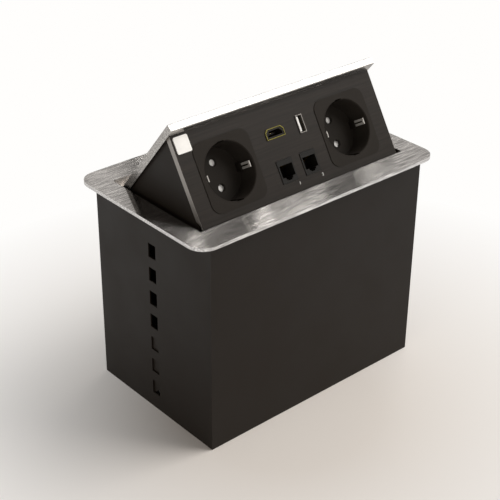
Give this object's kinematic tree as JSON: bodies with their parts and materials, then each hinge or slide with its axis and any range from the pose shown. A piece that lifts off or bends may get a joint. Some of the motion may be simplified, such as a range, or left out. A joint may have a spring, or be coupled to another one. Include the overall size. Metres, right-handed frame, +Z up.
{
  "type": "in-desk power module",
  "caption": "Desk power module: a steel housing hangs under a bezel, and a sprung wedge-shaped flap with mains sockets and data ports tilts up out of it",
  "frame": {"origin": "centre of the housing's underside", "axes": "X along the long side of the bezel, Y to the back where the flap is hinged, Z up through the desk top"},
  "size_m": [0.233, 0.144, 0.2405],
  "materials": {
    "black_coat": "satin powder coat",
    "brushed": "long grain brushed",
    "panel_coat": "fine satin coat",
    "zinc": "zinc plated",
    "black_plastic": "fine texture",
    "grey_plastic": "fine texture",
    "white_plastic": "satin",
    "rubber": "matt",
    "brass": "bright",
    "gilt": "gold plated",
    "nickel": "nickel plated",
    "spring_steel": "blued"
  },
  "bodies": {
    "frame_body": {"housing": "black_coat", "base_plate": "zinc", "base_screws": "zinc", "outlet_grommet": "rubber", "mains_inlet": "black_plastic", "inlet_pins": "brass", "inlet_screws": "zinc", "inlet_nuts": "zinc", "earth_stud": "brass", "earth_nuts": "brass", "bezel": "brushed", "bezel_studs": "zinc", "bezel_nuts": "zinc", "hinge_bush_left": "black_plastic", "hinge_bush_right": "black_plastic", "clamp_left": "black_coat", "clamp_right": "black_coat", "wall_studs": "zinc", "wall_nuts": "zinc", "motor_case": "grey_plastic", "motor_cap": "grey_plastic", "motor_spring": "spring_steel", "damper_case": "grey_plastic", "damper_cap": "grey_plastic", "latch_bracket": "zinc", "latch_body": "black_plastic", "latch_spring": "spring_steel"},
    "flap": {"lid_plate": "brushed", "socket_panel": "panel_coat", "side_plate_left": "black_coat", "side_plate_right": "black_coat", "stop_pads": "rubber", "hinge_pin_left": "zinc", "hinge_pin_right": "zinc", "frame_screws": "zinc", "wiring_cover": "black_coat", "cover_screws": "zinc", "striker": "zinc", "striker_screws": "zinc", "name_badge": "white_plastic", "socket_left": "black_plastic", "socket_right": "black_plastic", "contacts_left": "brass", "contacts_right": "brass", "earth_clip_left": "nickel", "earth_clip_right": "nickel", "socket_rear_left": "black_plastic", "socket_rear_right": "black_plastic", "hdmi_coupler": "gilt", "usb_charger": "nickel", "network_jacks": "black_plastic", "jack_contacts": "gilt", "port_tongues": "black_plastic"},
    "drive_pinion": {"motor_pinion": "white_plastic"},
    "brake_pinion": {"damper_pinion": "white_plastic"},
    "plunger": {"latch_plunger": "grey_plastic"},
    "shutter_l": {"shutter_left": "white_plastic"},
    "shutter_r": {"shutter_right": "white_plastic"},
    "thumb_screw_l": {"clamp_screw_left": "black_plastic"},
    "thumb_screw_r": {"clamp_screw_right": "black_plastic"}
  },
  "joints": [
    {"name": "lid_tilt", "type": "hinge", "parent": "frame_body", "child": "flap", "pos_m": [0, 0.0378, 0.1704], "axis": [1, 0, 0], "range_deg": [0, 50.8], "stiffness_Nm_per_rad": 0.5, "springref_deg": -68.75},
    {"name": "motor_pinion_turn", "type": "hinge", "parent": "frame_body", "child": "drive_pinion", "pos_m": [-0.093, 0.03198, 0.14301], "axis": [1, 0, 0], "range_deg": [-186.77, 0.5]},
    {"name": "damper_pinion_turn", "type": "hinge", "parent": "frame_body", "child": "brake_pinion", "pos_m": [0.093, 0.03198, 0.14301], "axis": [1, 0, 0], "range_deg": [-186.77, 0.5]},
    {"name": "latch_press", "type": "slide", "parent": "frame_body", "child": "plunger", "axis": [0, 0, -1], "range_m": [0, 0.003], "stiffness_N_per_m": 300, "springref_m": -0.002, "deforming": ["latch_spring"]},
    {"name": "shutter_turn_left", "type": "hinge", "parent": "flap", "child": "shutter_l", "pos_m": [-0.057, -0.01513, 0.19019], "axis": [0, -0.8499, 0.527], "range_deg": [0, 40], "stiffness_Nm_per_rad": 0.01, "springref_deg": -11.46},
    {"name": "shutter_turn_right", "type": "hinge", "parent": "flap", "child": "shutter_r", "pos_m": [0.057, -0.01513, 0.19019], "axis": [0, -0.8499, 0.527], "range_deg": [0, 40], "stiffness_Nm_per_rad": 0.01, "springref_deg": -11.46},
    {"name": "clamp_screw_travel_left", "type": "slide", "parent": "frame_body", "child": "thumb_screw_l", "axis": [0, 0, 1], "range_m": [0, 0.012]},
    {"name": "clamp_screw_travel_right", "type": "slide", "parent": "frame_body", "child": "thumb_screw_r", "axis": [0, 0, 1], "range_m": [0, 0.012]}
  ],
  "couplings": [
    {"joint": "motor_pinion_turn", "follows": "lid_tilt", "ratio": -3.6667},
    {"joint": "damper_pinion_turn", "follows": "lid_tilt", "ratio": -3.6667}
  ]
}
